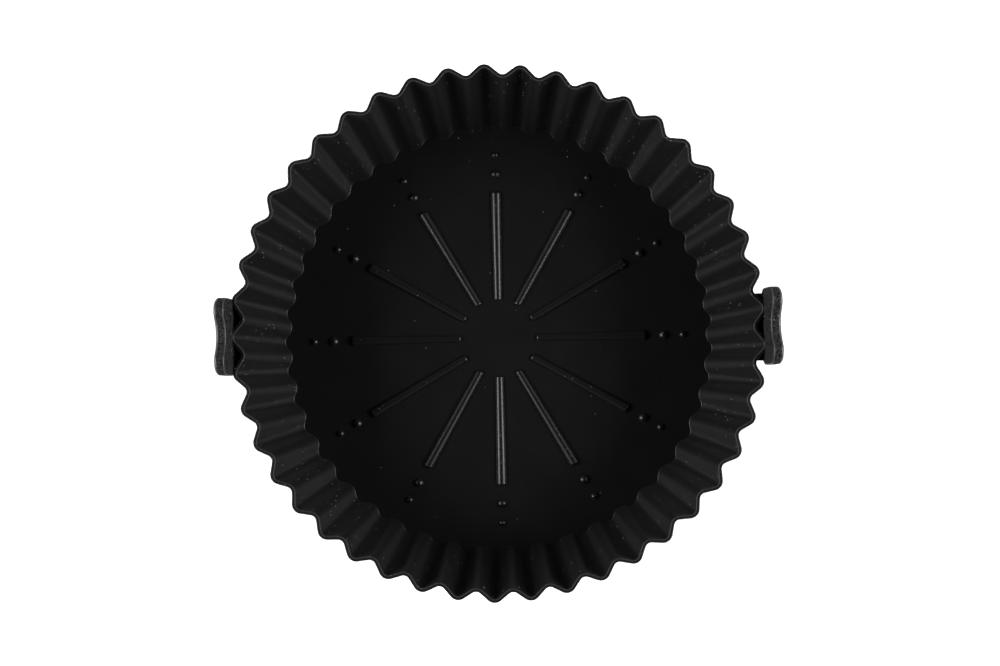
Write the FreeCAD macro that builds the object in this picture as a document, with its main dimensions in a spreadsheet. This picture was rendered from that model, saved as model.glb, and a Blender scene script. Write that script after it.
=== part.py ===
# Air fryer liner: one moulded silicone pan with a fluted wall, a ribbed floor and two ear handles.
# The pan stands on z = 0 with its axis on Z, and the ears lie on the X axis.
import FreeCAD, Part
import math
import os
import Sketcher
from FreeCAD import Rotation, Vector

# Millimetres and degrees. The rim's and the foot's diameter are measured over the crests of the flutes, and
# the setbacks inward: from the rim for the ear, from the foot for the floor pattern, from the ear's side for
# the web's end.
DRIVING_SIZES = (
    ("flute_count", 45),
    ("flank_angle", 38.3),
    ("rim_height", 50.0),
    ("rim_diameter", 200.0),
    ("rim_flute_depth", 3.8),
    ("foot_diameter", 169.4),
    ("foot_flute_depth", 2.35),
    ("wall_thickness", 1.3),
    ("floor_thickness", 1.5),
    ("lip_bevel", 0.35),
    ("spoke_count", 12),
    ("rib_start", 14.8),
    ("rib_end_setback", 26.7),
    ("rib_start_width", 2.9),
    ("rib_end_width", 3.7),
    ("near_dot_setback", 20.0),
    ("near_dot_diameter", 3.6),
    ("near_dot_rise", 1.5),
    ("far_dot_setback", 12.4),
    ("far_dot_diameter", 2.7),
    ("far_dot_rise", 1.2),
    ("root_depth", 0.6),
    ("ear_setback", 1.55),
    ("ear_lean", 9.0),
    ("ear_width", 29.0),
    ("ear_thickness", 3.7),
    ("ear_rise", 12.0),
    ("ear_dip", 3.0),
    ("ear_lobe_radius", 5.1),
    ("ear_foot_radius", 3.0),
    ("ear_edge_bevel", 0.5),
    ("web_end_setback", 2.0),
    ("web_thickness", 2.0),
    ("web_drop", 3.0),
)
RIB_SIDES = 8
DOT_SIDES = 8
DOT_SHOULDER_ANGLES = (0.0, math.radians(35), math.radians(70))
# Largest gap closed between two faces, and largest tolerance given to their seam.
TOUCH = 1e-5
SEAM = 1e-4

# Places follow from the setbacks. The web starts inside the deepest valley at the level of its underside.
DEPENDENT_SIZES = (
    ("rib_end", "=foot_diameter / 2 - rib_end_setback"),
    ("near_dot_place", "=foot_diameter / 2 - near_dot_setback"),
    ("far_dot_place", "=foot_diameter / 2 - far_dot_setback"),
    ("ear_seat_radius", "=rim_diameter / 2 - ear_setback"),
    ("web_width", "=ear_width - 2 * web_end_setback"),
    ("ear_depth_below_rim", "=web_drop + web_thickness / 2"),
    ("web_depth_below_rim", "=web_drop + web_thickness"),
    ("wall_draft", "=(rim_diameter - foot_diameter) / 2 / rim_height"),
    ("web_start_radius", "=rim_diameter / 2 - web_depth_below_rim * wall_draft - 2 * rim_flute_depth"),
)

doc = FreeCAD.newDocument("air_fryer_liner")
sizes = doc.addObject("Spreadsheet::Sheet", "sizes")
for row, (alias, value) in enumerate(DRIVING_SIZES + DEPENDENT_SIZES, start=1):
    sizes.set(f"A{row}", alias)
    sizes.set(f"B{row}", str(value))
    sizes.setAlias(f"B{row}", alias)
doc.recompute()


def size(alias):
    """The number in the sheet's cell with this alias."""
    return float(sizes.get(alias))


def bind(thing, bindings):
    """Tie properties of an object to formulas on the sheet."""
    for prop, formula in bindings.items():
        thing.setExpression(prop, formula)


# Fluted rings: level outlines of the wall, with crests and valleys that run straight from foot to rim.

def between_foot_and_rim(foot, rim, height):
    """A wall measure at this height, which changes evenly from the foot to the rim."""
    return foot + (rim - foot) * height / size("rim_height")


def crest_and_valley(height):
    """Radius of the outer wall at its crests and at its valleys, at this height."""
    crest = between_foot_and_rim(size("foot_diameter") / 2, size("rim_diameter") / 2, height)
    depth = between_foot_and_rim(size("foot_flute_depth"), size("rim_flute_depth"), height)
    return crest, crest - depth


def level_wall_thickness():
    """The wall's thickness measured level, which its draft makes a little more than square to it."""
    run = sum(crest_and_valley(size("rim_height"))) / 2 - sum(crest_and_valley(0)) / 2
    return size("wall_thickness") / math.cos(math.atan(run / size("rim_height")))


def polar(radius, angle, height=0.0):
    """The point at this distance from the axis, this angle in radians and this height."""
    return Vector(radius * math.cos(angle), radius * math.sin(angle), height)


def fluted_ring(height, inset):
    """Edges of a closed ring: for each flute a flank, a crest arc, a flank and a valley arc.

    The flanks keep one angle to their flute at every height and inset, so they are flat faces in the
    finished wall. The arcs touch both flanks, and crests and valleys are equally round in the middle of
    the wall.
    """
    crest, valley = crest_and_valley(height)
    depth_in_wall = inset - level_wall_thickness() / 2
    half_pitch = math.pi / int(size("flute_count"))
    flank = math.radians(size("flank_angle"))
    middle_crest = crest - level_wall_thickness() / 2
    middle_valley = valley - level_wall_thickness() / 2
    spare_depth = middle_valley * math.cos(flank - half_pitch) - middle_crest * math.cos(flank)
    tip = spare_depth / (2 - math.cos(flank) - math.cos(flank - half_pitch))
    crest_place = middle_crest - tip
    valley_place = middle_valley + tip
    crest_radius = tip - depth_in_wall
    valley_radius = tip + depth_in_wall
    edges = []
    for index in range(int(size("flute_count"))):
        axis = (2 * index + 1) * half_pitch
        crest_centre = polar(crest_place, axis, height)
        near_valley_centre = polar(valley_place, axis - half_pitch, height)
        far_valley_centre = polar(valley_place, axis + half_pitch, height)
        flank_foot = near_valley_centre - polar(valley_radius, axis - flank)
        flank_top = crest_centre + polar(crest_radius, axis - flank)
        next_flank_top = crest_centre + polar(crest_radius, axis + flank)
        next_flank_foot = far_valley_centre - polar(valley_radius, axis + flank)
        next_flute_foot = far_valley_centre - polar(valley_radius, axis + 2 * half_pitch - flank)
        crest_tip = polar(crest - inset, axis, height)
        valley_tip = polar(valley - inset, axis + half_pitch, height)
        edges += [
            Part.LineSegment(flank_foot, flank_top).toShape(),
            Part.Arc(flank_top, crest_tip, next_flank_top).toShape(),
            Part.LineSegment(next_flank_top, next_flank_foot).toShape(),
            Part.Arc(next_flank_foot, valley_tip, next_flute_foot).toShape(),
        ]
    return edges


def flank_face(start, end):
    """The flat face between two parallel edges."""
    corners = [start.firstVertex().Point, start.lastVertex().Point]
    corners += [end.lastVertex().Point, end.firstVertex().Point]
    return Part.Face(Part.makePolygon(corners + corners[:1]))


def wall_faces(start_ring, end_ring):
    """The faces from ring to ring: flat between flanks, and ruled between arcs."""
    faces = []
    for start, end in zip(start_ring, end_ring):
        if isinstance(start.Curve, Part.Line):
            faces.append(flank_face(start, end))
        else:
            faces.append(Part.makeRuledSurface(start, end))
    return faces


def flat_face(*rings):
    """The level face inside the first ring and outside the others."""
    return Part.Face([Part.Wire(ring) for ring in rings])


def closed_solid(name, faces):
    """A document object whose solid these faces enclose."""
    skin = Part.Compound(faces)
    skin.sewShape()
    solid = Part.Solid(skin.Shells[0])
    solid.fix(TOUCH, TOUCH, SEAM)
    feature = doc.addObject("Part::Feature", name)
    feature.Shape = Part.Solid(solid.Shells[0])
    return feature

# Pan: rings up the outer wall, over the bevelled lip and down the inner wall to the floor.
rim_height = size("rim_height")
lip_bevel = size("lip_bevel")
wall_inset = level_wall_thickness()
underside_ring = fluted_ring(0, 0)
outer_lip_ring = fluted_ring(rim_height - lip_bevel, 0)
lip_outer_ring = fluted_ring(rim_height, lip_bevel)
lip_inner_ring = fluted_ring(rim_height, wall_inset - lip_bevel)
inner_lip_ring = fluted_ring(rim_height - lip_bevel, wall_inset)
floor_ring = fluted_ring(size("floor_thickness"), wall_inset)
pan = closed_solid(
    "pan",
    [flat_face(underside_ring)]
    + wall_faces(underside_ring, outer_lip_ring)
    + wall_faces(outer_lip_ring, lip_outer_ring)
    + [flat_face(lip_outer_ring, lip_inner_ring)]
    + wall_faces(lip_inner_ring, inner_lip_ring)
    + wall_faces(inner_lip_ring, floor_ring)
    + [flat_face(floor_ring)],
)

# Core: what lies inside the middle of the wall. It trims the webs, so that they end within the wall.
core_foot_ring = fluted_ring(0, wall_inset / 2)
core_rim_ring = fluted_ring(rim_height, wall_inset / 2)
core = closed_solid(
    "core",
    [flat_face(core_foot_ring)] + wall_faces(core_foot_ring, core_rim_ring) + [flat_face(core_rim_ring)],
)


# Floor pattern: each spoke is a half-round rib that widens outward, followed by two domed dots.

def straight_edges(points):
    """The edges of a closed outline through these points."""
    return [Part.LineSegment(start, end).toShape() for start, end in zip(points, points[1:] + points[:1])]


def rib_outline(place, radius):
    """The rib's section at this distance from the axis: a half round over a root in the floor."""
    centre = Vector(place, 0, size("floor_thickness"))
    turns = [math.pi * side / RIB_SIDES for side in range(RIB_SIDES + 1)]
    crown = [centre + Vector(0, radius * math.cos(turn), radius * math.sin(turn)) for turn in turns]
    root = Vector(0, 0, size("root_depth"))
    return straight_edges(crown + [crown[-1] - root, crown[0] - root])


def dot_outline(place, radius, height):
    """A level outline of a dot."""
    turns = [2 * math.pi * side / DOT_SIDES for side in range(DOT_SIDES)]
    return straight_edges([Vector(place, 0, 0) + polar(radius, turn, height) for turn in turns])


def dot(name):
    """A dome whose place, diameter and rise on the sheet start with its name."""
    place = size(f"{name}_place")
    radius = size(f"{name}_diameter") / 2
    floor = size("floor_thickness")
    outlines = [dot_outline(place, radius, floor - size("root_depth"))]
    for angle in DOT_SHOULDER_ANGLES:
        rise = size(f"{name}_rise") * math.sin(angle)
        outlines.append(dot_outline(place, radius * math.cos(angle), floor + rise))
    faces = [flat_face(outlines[0]), flat_face(outlines[-1])]
    for lower, upper in zip(outlines, outlines[1:]):
        faces += wall_faces(lower, upper)
    return closed_solid(name, faces)


rib_inner_end = rib_outline(size("rib_start"), size("rib_start_width") / 2)
rib_outer_end = rib_outline(size("rib_end"), size("rib_end_width") / 2)
rib = closed_solid(
    "rib",
    [flat_face(rib_inner_end)] + wall_faces(rib_inner_end, rib_outer_end) + [flat_face(rib_outer_end)],
)
spoke = [rib.Shape, dot("near_dot").Shape, dot("far_dot").Shape]
floor_pattern = doc.addObject("Part::Feature", "floor_pattern")
floor_pattern.Shape = Part.Compound([
    shape.rotated(Vector(), Vector(0, 0, 1), 360 * index / size("spoke_count"))
    for index in range(int(size("spoke_count")))
    for shape in spoke
])


# Ear: an upright plate with a two-lobed top, which leans outward and stands on a level web.

def origin_plane(body, role):
    """The body's own origin plane with this role."""
    for plane in body.Origin.OriginFeatures:
        if plane.Role == role:
            return plane


def sketch_on(body, name, role):
    """An empty sketch on one of the body's origin planes."""
    sketch = body.newObject("Sketcher::SketchObject", name)
    sketch.AttachmentSupport = [(origin_plane(body, role), "")]
    sketch.MapMode = "FlatFace"
    return sketch


def constrain(sketch, name, formula, *arguments):
    """Add a named dimension to the sketch and tie it to a formula on the sheet."""
    index = sketch.addConstraint(Sketcher.Constraint(*arguments))
    sketch.renameConstraint(index, name)
    sketch.setExpression(f"Constraints.{name}", formula)


def ear_outline(body):
    """The plate seen along the X axis, with its base line at the height of the rim."""
    sketch = sketch_on(body, "ear_outline", "YZ_Plane")
    half_width = size("ear_width") / 2
    lobe = size("ear_lobe_radius")
    foot = size("ear_foot_radius")
    lobe_place = half_width - lobe
    lobe_level = size("ear_rise") - lobe
    dip_drop = size("ear_dip")
    dip = (lobe_place ** 2 + (lobe - dip_drop) ** 2 - lobe ** 2) / (2 * dip_drop)
    lobe_end = math.acos(lobe_place / (lobe + dip))
    below = size("ear_depth_below_rim")

    def line(start_x, start_y, end_x, end_y):
        return sketch.addGeometry(Part.LineSegment(Vector(start_x, start_y, 0), Vector(end_x, end_y, 0)))

    def arc(centre_x, centre_y, radius, start, end):
        circle = Part.Circle(Vector(centre_x, centre_y, 0), Vector(0, 0, 1), radius)
        return sketch.addGeometry(Part.ArcOfCircle(circle, start, end))

    right_side = line(half_width, foot - below, half_width, lobe_level)
    right_lobe = arc(lobe_place, lobe_level, lobe, 0, math.pi - lobe_end)
    dip_arc = arc(0, size("ear_rise") - dip_drop + dip, dip, math.pi + lobe_end, 2 * math.pi - lobe_end)
    left_lobe = arc(-lobe_place, lobe_level, lobe, lobe_end, math.pi)
    left_side = line(-half_width, lobe_level, -half_width, foot - below)
    left_foot = arc(foot - half_width, foot - below, foot, math.pi, 1.5 * math.pi)
    base = line(foot - half_width, -below, half_width - foot, -below)
    right_foot = arc(half_width - foot, foot - below, foot, 1.5 * math.pi, 2 * math.pi)
    sketch.addConstraint([
        Sketcher.Constraint("Tangent", right_side, 2, right_lobe, 1),
        Sketcher.Constraint("Tangent", right_lobe, 2, dip_arc, 2),
        Sketcher.Constraint("Tangent", dip_arc, 1, left_lobe, 1),
        Sketcher.Constraint("Tangent", left_lobe, 2, left_side, 1),
        Sketcher.Constraint("Tangent", left_side, 2, left_foot, 1),
        Sketcher.Constraint("Tangent", left_foot, 2, base, 1),
        Sketcher.Constraint("Tangent", base, 2, right_foot, 1),
        Sketcher.Constraint("Tangent", right_foot, 2, right_side, 1),
        Sketcher.Constraint("Vertical", right_side),
        Sketcher.Constraint("Symmetric", right_lobe, 3, left_lobe, 3, -2),
        Sketcher.Constraint("Equal", right_lobe, left_lobe),
        Sketcher.Constraint("Equal", right_foot, left_foot),
        Sketcher.Constraint("Horizontal", base),
    ])
    dip_formula = (
        "((sizes.ear_width / 2 - sizes.ear_lobe_radius) ^ 2 + (sizes.ear_lobe_radius - sizes.ear_dip) ^ 2"
        " - sizes.ear_lobe_radius ^ 2) / (2 * sizes.ear_dip)"
    )
    constrain(sketch, "half_width", "sizes.ear_width / 2", "DistanceX", -1, 1, right_side, 2, half_width)
    constrain(sketch, "lobe_level", "sizes.ear_rise - sizes.ear_lobe_radius", "DistanceY", -1, 1, right_lobe, 3,
              lobe_level)
    constrain(sketch, "lobe_radius", "sizes.ear_lobe_radius", "Radius", right_lobe, lobe)
    constrain(sketch, "dip_radius", dip_formula, "Radius", dip_arc, dip)
    constrain(sketch, "foot_radius", "sizes.ear_foot_radius", "Radius", right_foot, foot)
    constrain(sketch, "depth_below_rim", "sizes.ear_depth_below_rim", "DistanceY", base, 1, -1, 1, below)
    return sketch


ear_plate = doc.addObject("PartDesign::Body", "ear_plate")
ear_plate.Placement.Rotation = Rotation(Vector(0, 1, 0), size("ear_lean"))
bind(ear_plate, {
    "Placement.Base.x": "sizes.ear_seat_radius",
    "Placement.Base.z": "sizes.rim_height",
    "Placement.Rotation.Angle": "sizes.ear_lean",
})
ear_pad = ear_plate.newObject("PartDesign::Pad", "ear_pad")
ear_pad.Profile = ear_outline(ear_plate)
bind(ear_pad, {"Length": "sizes.ear_thickness"})
doc.recompute()
ear_bevel = ear_plate.newObject("PartDesign::Chamfer", "ear_bevel")
ear_bevel.Base = (ear_pad, [
    f"Face{number}" for number, face in enumerate(ear_pad.Shape.Faces, start=1)
    if isinstance(face.Surface, Part.Plane) and face.Area > size("ear_width") * size("ear_rise") / 2
])
bind(ear_bevel, {"Size": "sizes.ear_edge_bevel"})
ear_plate.Tip = ear_bevel

# Web: the level shelf a little below the rim that carries the ear. The core trims its inner end.
web_block = doc.addObject("Part::Box", "web_block")
bind(web_block, {
    "Length": "sizes.ear_seat_radius + sizes.ear_thickness / 2 - sizes.web_start_radius",
    "Width": "sizes.web_width",
    "Height": "sizes.web_thickness",
    "Placement.Base.x": "sizes.web_start_radius",
    "Placement.Base.y": "-sizes.web_width / 2",
    "Placement.Base.z": "sizes.rim_height - sizes.web_depth_below_rim",
})
left_web_block = doc.addObject("Part::Mirroring", "left_web_block")
left_web_block.Source = web_block
left_web_block.Normal = Vector(1, 0, 0)
web_blocks = doc.addObject("Part::Compound", "web_blocks")
web_blocks.Links = [web_block, left_web_block]
webs = doc.addObject("Part::Cut", "webs")
webs.Base = web_blocks
webs.Tool = core
left_ear_plate = doc.addObject("Part::Mirroring", "left_ear_plate")
left_ear_plate.Source = ear_plate
left_ear_plate.Normal = Vector(1, 0, 0)

# Liner: the moulding as one piece.
liner = doc.addObject("Part::MultiFuse", "liner")
liner.Shapes = [pan, floor_pattern, webs, ear_plate, left_ear_plate]
doc.recompute()

for thing in doc.Objects:
    if "Invalid" in thing.State or "Error" in thing.State:
        raise RuntimeError(f"{thing.Name} did not build: {thing.State}")
if liner.Shape.isNull() or not liner.Shape.isValid() or len(liner.Shape.Solids) != 1:
    raise RuntimeError("the liner is not one valid solid")

os.makedirs("parts", exist_ok=True)
liner.Shape.exportStep(f"parts/{liner.Label}.step")
print(f"{liner.Label}: {liner.Shape.Volume / 1000:.1f} cm3, {len(liner.Shape.Faces)} faces")
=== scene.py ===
import math

import bpy
from mathutils import Matrix, Vector


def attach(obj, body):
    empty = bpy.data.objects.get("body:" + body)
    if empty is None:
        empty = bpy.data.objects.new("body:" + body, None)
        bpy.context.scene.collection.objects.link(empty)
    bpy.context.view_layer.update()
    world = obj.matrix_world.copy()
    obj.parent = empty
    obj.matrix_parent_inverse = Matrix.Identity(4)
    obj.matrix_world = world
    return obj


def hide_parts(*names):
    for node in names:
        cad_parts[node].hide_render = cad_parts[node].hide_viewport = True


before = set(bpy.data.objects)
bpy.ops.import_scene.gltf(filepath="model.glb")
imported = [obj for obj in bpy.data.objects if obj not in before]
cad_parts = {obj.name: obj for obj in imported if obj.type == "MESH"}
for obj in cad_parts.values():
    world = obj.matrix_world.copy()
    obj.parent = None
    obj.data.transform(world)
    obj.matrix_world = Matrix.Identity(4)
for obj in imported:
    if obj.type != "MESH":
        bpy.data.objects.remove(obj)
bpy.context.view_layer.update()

# The air fryer liner in black moulded silicone, seen from almost straight above on a pale studio floor.
# Metres and radians. The pan stands on z = 0 with its axis on Z and its ears on the X axis.
# Some sizes differ a little from the solid's, to match the photograph.

# Wall. Radii are measured to the crests of the flutes, and the thickness is measured level.
FLUTES = 45
FLANK_ANGLE = math.radians(41)
RIM_HEIGHT = 0.050
RIM_RADIUS = 0.0999
RIM_FLUTE_DEPTH = 0.0038
FOOT_RADIUS = 0.0847
FOOT_FLUTE_DEPTH = 0.00235
WALL_THICKNESS = 0.00136
FLOOR_THICKNESS = 0.0015
HEEL_ROUND = 0.0006
LIP_ROUND = 0.0003
INNER_FOOT_ROUND = 0.00013
# The soft rim's slow waves: how many go round, how high each is, and the angle of its first crest
RIM_WAVES = (
    (2, 0.00014, math.radians(77)),
    (3, 0.00024, math.radians(-12)),
    (4, 0.00012, math.radians(57)),
    (5, 0.00016, math.radians(-28)),
    (6, 0.00015, math.radians(-20)),
)

# Floor pattern. A dot has its place on the spoke, its diameter and its rise.
SPOKES = 12
RIB_START = 0.0148
RIB_END = 0.0577
RIB_START_WIDTH = 0.0031
RIB_END_WIDTH = 0.0040
RIB_END_ROUND = 0.0007
RIB_RISE_SHARE = 0.85
DOTS = ((0.0647, 0.0036, 0.0015), (0.0723, 0.0027, 0.0012))
DOT_TOP_ANGLE = math.radians(84)
ROOT_DEPTH = 0.0004

# Ears
EAR_SEAT_RADIUS = 0.09845
EAR_LEAN = math.radians(9)
EAR_WIDTH = 0.0286
EAR_THICKNESS = 0.0040
EAR_RISE = 0.012
EAR_DIP = 0.003
EAR_LOBE_RADIUS = 0.0051
EAR_FOOT_RADIUS = 0.004
EAR_INNER_ROUND = 0.0005
EAR_OUTER_ROUND = 0.0011
WEB_WIDTH = 0.025
WEB_THICKNESS = 0.002
WEB_DROP = 0.003

# Fineness of the meshes: the largest turn between two points of an outline's arcs, the steps along a
# form or round its edge, and the distance from a round to the ring that keeps the flat beside it flat
ARC_STEP = math.radians(9)
ROUND_STEPS = 4
WALL_STEPS = 10
RIB_STEPS = 12
RIB_CROWN_STEPS = 16
DOT_STEPS = 8
DOT_SIDES = 24
EAR_INNER_ROUND_STEPS = 6
EAR_OUTER_ROUND_STEPS = 8
GUARD = 0.0001

# Silicone
SILICONE_IOR = 1.41
PATCH_SCALE = 60
PATCH_ROUGHNESS = 0.012
MOTTLE_SCALE = 1500
MOTTLE_BAND = (0.4, 0.6)
FINE_DETAIL = 3
GRAIN_ROUGHNESS = 0.6
GRAIN_STRENGTH = 0.6
SHEEN_ROUGHNESS = 0.5

# Dust. A cell of the pattern has a speck when its random value is over a threshold, which is lower on the
# wall than on the floor. The cells are drawn out along Z, so that specks show on the steep wall from above.
DUST_COLOUR = (0.11, 0.107, 0.104, 1)
DUST_SCALE = 700
DUST_SIZE = 0.12
DUST_SQUEEZE = (1, 1, 0.35)
DUST_CLOUD_SCALE = 45
DUST_CLOUD_THRESHOLDS = (1.0, 0.5)
DUST_HEIGHT_THRESHOLDS = (0.985, 0.4)
DUST_HEIGHTS = (0.002, 0.008)

# Studio
LIGHT_ELEVATION = math.radians(28)
LIGHT_TURN = math.radians(-3)
LIGHT_DISTANCE = 1.1
SOFTBOX_WIDTH = 0.62
SOFTBOX_HEIGHT = 0.75
SOFTBOX_POWER = 32
FLOOR_REACH = 6.0
FLOOR_TINTS = (0.86, 0.9)
FLOOR_UNEVENNESS_SCALE = 3
FLOOR_ROUGHNESS = 0.9
FLOOR_GLOSS = 0.1
# The world's grey and where it lies, as the upward part of the direction: near the horizon and overhead
HORIZON_GREY, HORIZON_LEVEL = 0.85, 0.05
ZENITH_GREY, ZENITH_LEVEL = 0.004, 0.9

# Camera, as in the photograph: over the pan, leaning a little toward -Y. The scale holds at the rim's
# height, and the offset is how far the rim's centre is right of and below the image's middle, in pixels.
CAMERA_DISTANCE = 0.8
CAMERA_LEAN = math.radians(2.89)
CAMERA_ROLL = math.radians(-1.18)
SENSOR_WIDTH = 36
IMAGE_WIDTH = 1000
PIXELS_PER_METRE = 2702
RIM_OFFSET = (-1.47, -1.16)


def polar(radius, angle, height=0.0):
    """The point at this distance from the axis, this angle and this height."""
    return Vector((radius * math.cos(angle), radius * math.sin(angle), height))


def steps(start, end, count):
    """count + 1 even values from start to end."""
    return [start + (end - start) * index / count for index in range(count + 1)]


def quarter_round(radius, count=ROUND_STEPS):
    """Points of a quarter circle from (0, radius) to (radius, 0), centred on (radius, radius)."""
    return [
        (radius * (1 - math.cos(turn)), radius * (1 - math.sin(turn)))
        for turn in steps(0, math.pi / 2, count)
    ]


def link(thing):
    """Put an object into the scene."""
    bpy.context.scene.collection.objects.link(thing)


# Fluted rings: level outlines of the wall, as points that keep their order from ring to ring

HALF_PITCH = math.pi / FLUTES


def wall_station(height):
    """Distances of the crest's and the valley's centre from the axis at this height, and the radius that
    both have at the middle of the wall."""
    share = height / RIM_HEIGHT
    crest = FOOT_RADIUS + (RIM_RADIUS - FOOT_RADIUS) * share - WALL_THICKNESS / 2
    valley = crest - FOOT_FLUTE_DEPTH - (RIM_FLUTE_DEPTH - FOOT_FLUTE_DEPTH) * share
    valley_flank = FLANK_ANGLE - HALF_PITCH
    spare_depth = valley * math.cos(valley_flank) - crest * math.cos(FLANK_ANGLE)
    tip = spare_depth / (2 - math.cos(FLANK_ANGLE) - math.cos(valley_flank))
    return crest - tip, valley + tip, tip


def waved(point):
    """The point moved out or in by the rim's slow waves, which fade toward the foot."""
    angle = math.atan2(point.y, point.x)
    wave = sum(size * math.cos(count * (angle - crest)) for count, size, crest in RIM_WAVES)
    return point + polar(wave * point.z / RIM_HEIGHT, angle)


def fluted_ring(height, inset):
    """Points of the wall's outline at this height, this far inside its outer face."""
    crest_place, valley_place, tip = wall_station(height)
    crest_radius = tip + WALL_THICKNESS / 2 - inset
    valley_radius = tip - WALL_THICKNESS / 2 + inset
    crest_count = math.ceil(2 * FLANK_ANGLE / ARC_STEP)
    valley_count = math.ceil(2 * (FLANK_ANGLE - HALF_PITCH) / ARC_STEP)
    points = []
    for index in range(FLUTES):
        axis = (2 * index + 1) * HALF_PITCH
        points += [
            polar(crest_place, axis, height) + polar(crest_radius, turn)
            for turn in steps(axis - FLANK_ANGLE, axis + FLANK_ANGLE, crest_count)
        ]
        points += [
            polar(valley_place, axis + HALF_PITCH, height) - polar(valley_radius, turn)
            for turn in steps(axis + FLANK_ANGLE, axis + 2 * HALF_PITCH - FLANK_ANGLE, valley_count)
        ]
    return [waved(point) for point in points]


# Meshes

# The finishes' numbers
# The lip's finish is lighter in colour than the wall: a painted highlight along the lip's rounded edges.
WALL, EAR_FACE, EAR_EDGE, LIP_PAINTED_HIGHLIGHT = range(4)


class Skin:
    """Points and faces of the liner's closed skins, with a finish number for each face."""

    def __init__(self):
        self.points = []
        self.faces = []
        self.finishes = []

    def add_ring(self, points):
        """Add points and return their numbers."""
        first = len(self.points)
        self.points += [Vector(point) for point in points]
        return list(range(first, len(self.points)))

    def add_face(self, corners, finish=WALL):
        """Add a face through the points with these numbers."""
        self.faces.append(corners)
        self.finishes.append(finish)

    def join_rings(self, lower, upper, finish=WALL):
        """Four-sided faces between two closed rings of as many points."""
        for index in range(len(lower)):
            following = (index + 1) % len(lower)
            self.add_face([lower[index], lower[following], upper[following], upper[index]], finish)

    def loft(self, rings, finish=WALL, cap_start=True, cap_end=True):
        """Faces through a run of rings, capped at its ends. Returns the rings' point numbers."""
        numbers = [self.add_ring(ring) for ring in rings]
        for lower, upper in zip(numbers, numbers[1:]):
            self.join_rings(lower, upper, finish)
        if cap_start:
            self.add_face(numbers[0][::-1], finish)
        if cap_end:
            self.add_face(numbers[-1], finish)
        return numbers

    def smooth_object(self, name, materials):
        """A smooth object in the scene, with a material for each finish."""
        mesh = bpy.data.meshes.new(name)
        mesh.from_pydata(self.points, [], self.faces)
        for material in materials:
            mesh.materials.append(material)
        mesh.polygons.foreach_set("material_index", self.finishes)
        mesh.polygons.foreach_set("use_smooth", [True] * len(self.faces))
        mesh.validate()
        mesh.update()
        thing = bpy.data.objects.new(name, mesh)
        link(thing)
        return thing


def pan_skin(skin):
    """The pan from the middle of its underside, up the wall, over the lip and down to the floor.

    The lip's rounds have a finish of their own: duller than the wall, and lighter in colour, which paints a
    highlight along the lip's edges.
    """
    lip_start = RIM_HEIGHT - LIP_ROUND - GUARD
    heel_end = HEEL_ROUND + GUARD
    floor_start = FLOOR_THICKNESS + INNER_FOOT_ROUND + GUARD
    lip_round = quarter_round(LIP_ROUND)

    outside = [fluted_ring(0, heel_end)]
    outside += [fluted_ring(rise, inset) for inset, rise in quarter_round(HEEL_ROUND)[::-1]]
    outside += [fluted_ring(height, 0) for height in steps(heel_end, lip_start, WALL_STEPS)]
    outer_lip = [fluted_ring(RIM_HEIGHT - drop, inset) for inset, drop in lip_round]
    inner_lip = [
        fluted_ring(RIM_HEIGHT - drop, WALL_THICKNESS - inset) for inset, drop in lip_round[::-1]
    ]
    inside = [
        fluted_ring(height, WALL_THICKNESS) for height in steps(lip_start, floor_start, WALL_STEPS)
    ]
    inside += [
        fluted_ring(FLOOR_THICKNESS + rise, WALL_THICKNESS + inset)
        for inset, rise in quarter_round(INNER_FOOT_ROUND)
    ]
    inside.append(fluted_ring(FLOOR_THICKNESS, WALL_THICKNESS + INNER_FOOT_ROUND + GUARD))

    last = skin.loft(outside, cap_end=False)[-1]
    for lip in (outer_lip, inner_lip):
        numbers = skin.loft(lip, LIP_PAINTED_HIGHLIGHT, cap_start=False, cap_end=False)
        skin.join_rings(last, numbers[0])
        last = numbers[-1]
    numbers = skin.loft(inside, cap_start=False)
    skin.join_rings(last, numbers[0])


def rib_rings():
    """Sections of the rib on the X axis: slightly flattened half rounds over a root in the floor."""
    length = RIB_END - RIB_START
    end_round = quarter_round(RIB_END_ROUND)
    guarded = RIB_END_ROUND + GUARD
    body = [(along, 0) for along in steps(guarded, length - guarded, RIB_STEPS)]
    far_end = [(length - along, shrink) for along, shrink in end_round[::-1]]
    root = Vector((0, 0, ROOT_DEPTH))
    rings = []
    for along, shrink in end_round + body + far_end:
        radius = (RIB_START_WIDTH + (RIB_END_WIDTH - RIB_START_WIDTH) * along / length) / 2 - shrink
        centre = Vector((RIB_START + along, 0, FLOOR_THICKNESS))
        crown = [
            centre + Vector((0, radius * math.cos(turn), radius * RIB_RISE_SHARE * math.sin(turn)))
            for turn in steps(0, math.pi, RIB_CROWN_STEPS)
        ]
        rings.append(crown + [crown[-1] - root, crown[0] - root])
    return rings


def dot_rings(place, diameter, rise):
    """Level outlines of a domed dot on the X axis, from its root in the floor to near its top."""
    levels = [(diameter / 2, -ROOT_DEPTH)]
    levels += [
        (diameter / 2 * math.cos(shoulder), rise * math.sin(shoulder))
        for shoulder in steps(0, DOT_TOP_ANGLE, DOT_STEPS)
    ]
    return [
        [
            Vector((place, 0, FLOOR_THICKNESS + level)) + polar(radius, turn)
            for turn in steps(0, 2 * math.pi, DOT_SIDES)[:-1]
        ]
        for radius, level in levels
    ]


def spoke_skin(skin, turn):
    """A rib and its two dots, turned about the axis."""
    rotation = Matrix.Rotation(turn, 3, "Z")
    for rings in [rib_rings()] + [dot_rings(*dot) for dot in DOTS]:
        skin.loft([[rotation @ point for point in ring] for ring in rings])


def arc(centre, radius, start, end):
    """Points (y, z) of an arc between two angles."""
    count = max(3, math.ceil(abs(end - start) / ARC_STEP))
    return [
        (centre[0] + radius * math.cos(turn), centre[1] + radius * math.sin(turn))
        for turn in steps(start, end, count)
    ]


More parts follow.
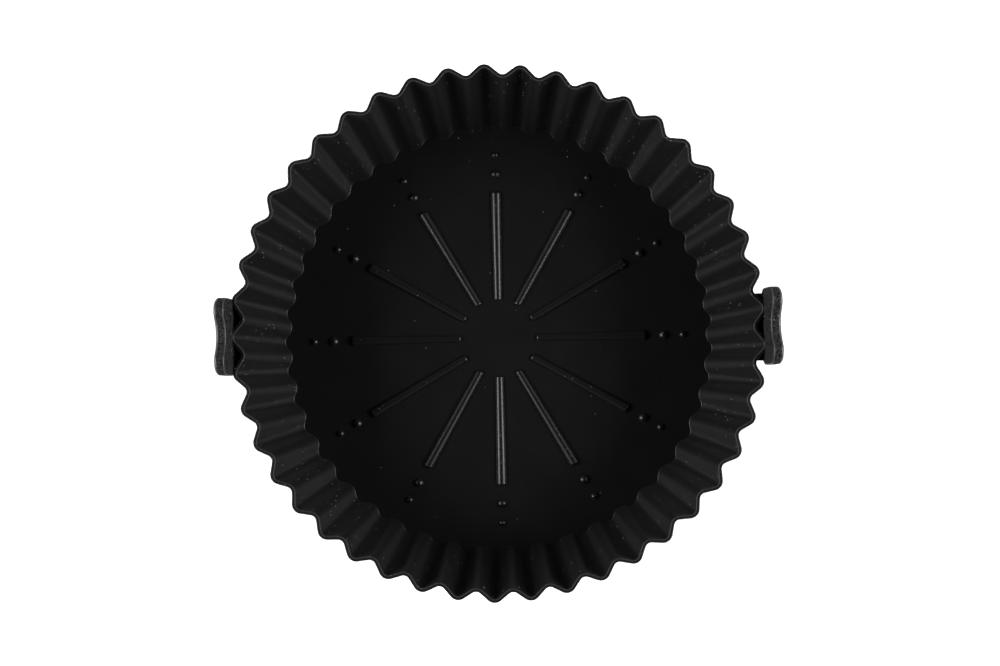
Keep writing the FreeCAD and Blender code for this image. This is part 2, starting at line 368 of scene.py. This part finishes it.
def ear_outline(inset):
    """The ear plate's outline, this far inside its edge, as (y, z) with z from the rim."""
    half_width = EAR_WIDTH / 2
    lobe_place = half_width - EAR_LOBE_RADIUS
    lobe_level = EAR_RISE - EAR_LOBE_RADIUS
    lobe = EAR_LOBE_RADIUS - inset
    dip = (lobe_place ** 2 + (EAR_LOBE_RADIUS - EAR_DIP) ** 2 - EAR_LOBE_RADIUS ** 2) / (2 * EAR_DIP)
    dip_centre = (0, EAR_RISE - EAR_DIP + dip)
    lobe_end = math.acos(lobe_place / (EAR_LOBE_RADIUS + dip))
    below = WEB_DROP + WEB_THICKNESS / 2
    foot_place = half_width - EAR_FOOT_RADIUS
    foot_level = EAR_FOOT_RADIUS - below
    foot = EAR_FOOT_RADIUS - inset

    right = arc((lobe_place, lobe_level), lobe, 0, math.pi - lobe_end)
    middle = arc(dip_centre, dip + inset, 2 * math.pi - lobe_end, math.pi + lobe_end)
    left = arc((-lobe_place, lobe_level), lobe, lobe_end, math.pi)
    left_foot = arc((-foot_place, foot_level), foot, math.pi, 1.5 * math.pi)
    right_foot = arc((foot_place, foot_level), foot, 1.5 * math.pi, 2 * math.pi)
    return right + middle[1:-1] + left + left_foot + right_foot


def ear_place(side):
    """The move that sets an ear, drawn upright on the rim's level, in its place on this side."""
    place = Matrix.Translation((EAR_SEAT_RADIUS, 0, RIM_HEIGHT)) @ Matrix.Rotation(EAR_LEAN, 4, "Y")
    if side < 0:
        place = Matrix.Scale(-1, 4, (1, 0, 0)) @ place
    return place


def ear_skin(skin, side):
    """The leaning plate of an ear. Its rounded edges are smoother than its faces."""
    place = ear_place(side)

    def ring(depth, inset):
        points = [place @ Vector((depth, y, z)) for y, z in ear_outline(inset)]
        return points if side > 0 else points[::-1]

    inner_round = quarter_round(EAR_INNER_ROUND, EAR_INNER_ROUND_STEPS)
    outer_round = quarter_round(EAR_OUTER_ROUND, EAR_OUTER_ROUND_STEPS)
    inner_rings = [ring(drop, inset) for inset, drop in inner_round[::-1]]
    outer_rings = [ring(EAR_THICKNESS - drop, inset) for inset, drop in outer_round]
    inner = skin.loft(inner_rings, EAR_EDGE, cap_start=False, cap_end=False)
    outer = skin.loft(outer_rings, EAR_EDGE, cap_start=False, cap_end=False)
    skin.add_face(inner[0][::-1], EAR_FACE)
    skin.join_rings(inner[-1], outer[0], EAR_FACE)
    skin.add_face(outer[-1], EAR_FACE)


def web_skin(skin, side):
    """The level web between the wall and the ear. Its inner end follows the middle of the wall."""
    top = RIM_HEIGHT - WEB_DROP
    half_width = WEB_WIDTH / 2
    outer_x = side * (EAR_SEAT_RADIUS + EAR_THICKNESS / 2)
    within = [
        number for number, point in enumerate(fluted_ring(top, WALL_THICKNESS / 2))
        if point.x * side > 0 and abs(point.y) < half_width
    ]
    rings = []
    for height in (top - WEB_THICKNESS, top):
        ring = fluted_ring(height, WALL_THICKNESS / 2)
        inner = sorted((ring[number] for number in within), key=lambda point: point.y)
        rings.append(
            [Vector((inner[0].x, -half_width, height))] + inner
            + [Vector((inner[-1].x, half_width, height))]
            + [Vector((outer_x, half_width, height)), Vector((outer_x, -half_width, height))]
        )
    if side > 0:
        rings = [ring[::-1] for ring in rings]
    skin.loft(rings)


# Materials

class Nodes:
    """The nodes of one material, and short ways to add to them."""

    def __init__(self, name):
        self.material = bpy.data.materials.new(name)
        self.material.use_nodes = True
        self.tree = self.material.node_tree
        self.shader = self.tree.nodes["Principled BSDF"].inputs
        self.place = self.add("ShaderNodeTexCoord").outputs["Object"]

    def add(self, kind):
        """A new node of this kind."""
        return self.tree.nodes.new(kind)

    def feed(self, socket, value):
        """Give an input a number or colour, or the output of another node."""
        if isinstance(value, bpy.types.NodeSocket):
            self.tree.links.new(value, socket)
        else:
            socket.default_value = value

    def noise(self, scale, detail=2.0, rough=0.5):
        """Noise of this scale all over the object."""
        texture = self.add("ShaderNodeTexNoise")
        texture.inputs["Scale"].default_value = scale
        texture.inputs["Detail"].default_value = detail
        texture.inputs["Roughness"].default_value = rough
        self.feed(texture.inputs["Vector"], self.place)
        return texture.outputs["Fac"]

    def spread(self, value, low, high, start=0.3, end=0.7):
        """The value's stretch from start to end, taken to low and high."""
        change = self.add("ShaderNodeMapRange")
        change.inputs["From Min"].default_value = start
        change.inputs["From Max"].default_value = end
        change.inputs["To Min"].default_value = low
        change.inputs["To Max"].default_value = high
        self.feed(change.inputs["Value"], value)
        return change.outputs["Result"]

    def combine(self, operation, first, second):
        """One number from two."""
        node = self.add("ShaderNodeMath")
        node.operation = operation
        self.feed(node.inputs[0], first)
        self.feed(node.inputs[1], second)
        return node.outputs[0]

    def mix(self, factor, first, second):
        """A colour between two."""
        node = self.add("ShaderNodeMix")
        node.data_type = "RGBA"
        self.feed(node.inputs["A"], first)
        self.feed(node.inputs["B"], second)
        self.feed(node.inputs["Factor"], factor)
        return node.outputs["Result"]


def dust_specks(nodes):
    """One on a few specks of dust, which are more frequent on the wall, and zero elsewhere."""
    squeeze = nodes.add("ShaderNodeVectorMath")
    squeeze.operation = "MULTIPLY"
    nodes.feed(squeeze.inputs[0], nodes.place)
    nodes.feed(squeeze.inputs[1], DUST_SQUEEZE)
    cells = nodes.add("ShaderNodeTexVoronoi")
    nodes.feed(cells.inputs["Scale"], DUST_SCALE)
    nodes.feed(cells.inputs["Vector"], squeeze.outputs["Vector"])
    random_value = nodes.add("ShaderNodeSeparateColor")
    nodes.feed(random_value.inputs["Color"], cells.outputs["Color"])
    height = nodes.add("ShaderNodeSeparateXYZ")
    nodes.feed(height.inputs["Vector"], nodes.place)

    cloud_threshold = nodes.spread(nodes.noise(DUST_CLOUD_SCALE), *DUST_CLOUD_THRESHOLDS)
    height_threshold = nodes.spread(height.outputs["Z"], *DUST_HEIGHT_THRESHOLDS, *DUST_HEIGHTS)
    threshold = nodes.combine("MAXIMUM", cloud_threshold, height_threshold)
    near = nodes.combine("LESS_THAN", cells.outputs["Distance"], DUST_SIZE)
    chosen = nodes.combine("GREATER_THAN", random_value.outputs["Red"], threshold)
    return nodes.combine("MULTIPLY", near, chosen)


def silicone(name, tint, roughness, grain, grain_height, mottle, sheen, gloss=0.5):
    """Black moulded silicone: a fine moulded grain, patches of duller skin and a few specks of dust."""
    nodes = Nodes(name)
    darker = (*[channel * (1 - mottle) for channel in tint], 1)
    lighter = (*[channel * (1 + mottle) for channel in tint], 1)
    mottling = nodes.spread(nodes.noise(MOTTLE_SCALE), 0, 1, *MOTTLE_BAND)
    skin_colour = nodes.mix(mottling, darker, lighter)
    nodes.feed(nodes.shader["Base Color"], nodes.mix(dust_specks(nodes), skin_colour, DUST_COLOUR))

    patches = nodes.noise(PATCH_SCALE, FINE_DETAIL)
    uneven = nodes.spread(patches, roughness - PATCH_ROUGHNESS, roughness + PATCH_ROUGHNESS)
    nodes.feed(nodes.shader["Roughness"], uneven)
    nodes.shader["IOR"].default_value = SILICONE_IOR
    nodes.shader["Specular IOR Level"].default_value = gloss
    nodes.shader["Sheen Weight"].default_value = sheen
    nodes.shader["Sheen Roughness"].default_value = SHEEN_ROUGHNESS

    bump = nodes.add("ShaderNodeBump")
    bump.inputs["Strength"].default_value = GRAIN_STRENGTH
    bump.inputs["Distance"].default_value = grain_height
    nodes.feed(bump.inputs["Height"], nodes.noise(1 / grain, FINE_DETAIL, GRAIN_ROUGHNESS))
    nodes.feed(nodes.shader["Normal"], bump.outputs["Normal"])
    return nodes.material


def pale_floor():
    """A plain, almost white studio floor with the least unevenness."""
    nodes = Nodes("pale_floor")
    darker, lighter = [(tint, tint, tint, 1) for tint in FLOOR_TINTS]
    nodes.feed(nodes.shader["Base Color"], nodes.mix(nodes.noise(FLOOR_UNEVENNESS_SCALE), darker, lighter))
    nodes.shader["Roughness"].default_value = FLOOR_ROUGHNESS
    nodes.shader["Specular IOR Level"].default_value = FLOOR_GLOSS
    return nodes.material


# Liner

# In the order of the finishes' numbers
liner_materials = [
    silicone(
        "black_silicone", tint=(0.0009, 0.0009, 0.00095), roughness=0.37,
        grain=0.0006, grain_height=0.000004, mottle=0.25, sheen=0.012, gloss=0.39,
    ),
    silicone(
        "blasted_silicone", tint=(0.0075, 0.0075, 0.0075), roughness=0.7,
        grain=0.0008, grain_height=0.0006, mottle=0.95, sheen=0.0, gloss=0.08,
    ),
    silicone(
        "edge_silicone", tint=(0.008, 0.008, 0.008), roughness=0.52,
        grain=0.0006, grain_height=0.0001, mottle=0.5, sheen=0.02,
    ),
    # The lip's rounds: a rougher finish, with a colour lighter than the wall's that is a painted highlight
    # along the lip's edges.
    silicone(
        "lip_silicone_painted_highlight", tint=(0.006, 0.006, 0.006), roughness=0.7,
        grain=0.0006, grain_height=0.0002, mottle=0.8, sheen=0.01, gloss=0.38,
    ),
]

skin = Skin()
pan_skin(skin)
for spoke in range(SPOKES):
    spoke_skin(skin, 2 * math.pi * spoke / SPOKES)
for side in (1, -1):
    ear_skin(skin, side)
    web_skin(skin, side)
liner = skin.smooth_object("liner_skin", liner_materials)
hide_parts("liner")
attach(liner, "root")


# Studio

def softbox(name, azimuth):
    """A softbox that faces the middle of the pan from this side."""
    light = bpy.data.lights.new(name, "AREA")
    light.shape = "RECTANGLE"
    light.size = SOFTBOX_WIDTH
    light.size_y = SOFTBOX_HEIGHT
    light.energy = SOFTBOX_POWER
    lamp = bpy.data.objects.new(name, light)
    target = Vector((0, 0, RIM_HEIGHT / 2))
    toward_lamp = polar(math.cos(LIGHT_ELEVATION), azimuth, math.sin(LIGHT_ELEVATION))
    lamp.location = target + LIGHT_DISTANCE * toward_lamp
    lamp.rotation_mode = "QUATERNION"
    lamp.rotation_quaternion = (lamp.location - target).to_track_quat("Z", "Y")
    link(lamp)


def floor_plane():
    """The studio floor, level with the pan's underside."""
    corners = [(-1, -1), (1, -1), (1, 1), (-1, 1)]
    mesh = bpy.data.meshes.new("studio_floor")
    mesh.from_pydata([(x * FLOOR_REACH, y * FLOOR_REACH, 0) for x, y in corners], [], [(0, 1, 2, 3)])
    mesh.materials.append(pale_floor())
    plane = bpy.data.objects.new("studio_floor", mesh)
    link(plane)
    return plane


def studio_world():
    """A world that is pale at the horizon and below it, and fades to almost black overhead."""
    world = bpy.data.worlds.new("studio")
    world.use_nodes = True
    nodes, links = world.node_tree.nodes, world.node_tree.links
    upward = nodes.new("ShaderNodeSeparateXYZ")
    links.new(nodes.new("ShaderNodeTexCoord").outputs["Generated"], upward.inputs["Vector"])
    sky = nodes.new("ShaderNodeValToRGB")
    horizon, zenith = sky.color_ramp.elements
    horizon.position = HORIZON_LEVEL
    horizon.color = (HORIZON_GREY, HORIZON_GREY, HORIZON_GREY, 1)
    zenith.position = ZENITH_LEVEL
    zenith.color = (ZENITH_GREY, ZENITH_GREY, ZENITH_GREY, 1)
    links.new(upward.outputs["Z"], sky.inputs["Fac"])
    links.new(sky.outputs["Color"], nodes["Background"].inputs["Color"])
    nodes["Background"].inputs["Strength"].default_value = 1.0
    return world


def photo_camera():
    """The camera over the pan."""
    data = bpy.data.cameras.new("camera")
    data.sensor_width = SENSOR_WIDTH
    data.lens = PIXELS_PER_METRE * CAMERA_DISTANCE / IMAGE_WIDTH * SENSOR_WIDTH
    camera = bpy.data.objects.new("camera", data)
    link(camera)
    facing = Matrix.Rotation(CAMERA_LEAN, 3, "X") @ Matrix.Rotation(CAMERA_ROLL, 3, "Z")
    right, below = [offset / PIXELS_PER_METRE for offset in RIM_OFFSET]
    aim = Vector((0, 0, RIM_HEIGHT)) - facing @ Vector((right, -below, 0))
    camera.location = aim + facing @ Vector((0, 0, CAMERA_DISTANCE))
    camera.rotation_mode = "QUATERNION"
    camera.rotation_quaternion = facing.to_quaternion()
    return camera


softbox("right_softbox", LIGHT_TURN)
softbox("left_softbox", math.pi - LIGHT_TURN)
floor_plane()
bpy.context.scene.world = studio_world()
bpy.context.scene.view_settings.view_transform = "Standard"
bpy.context.scene.camera = photo_camera()
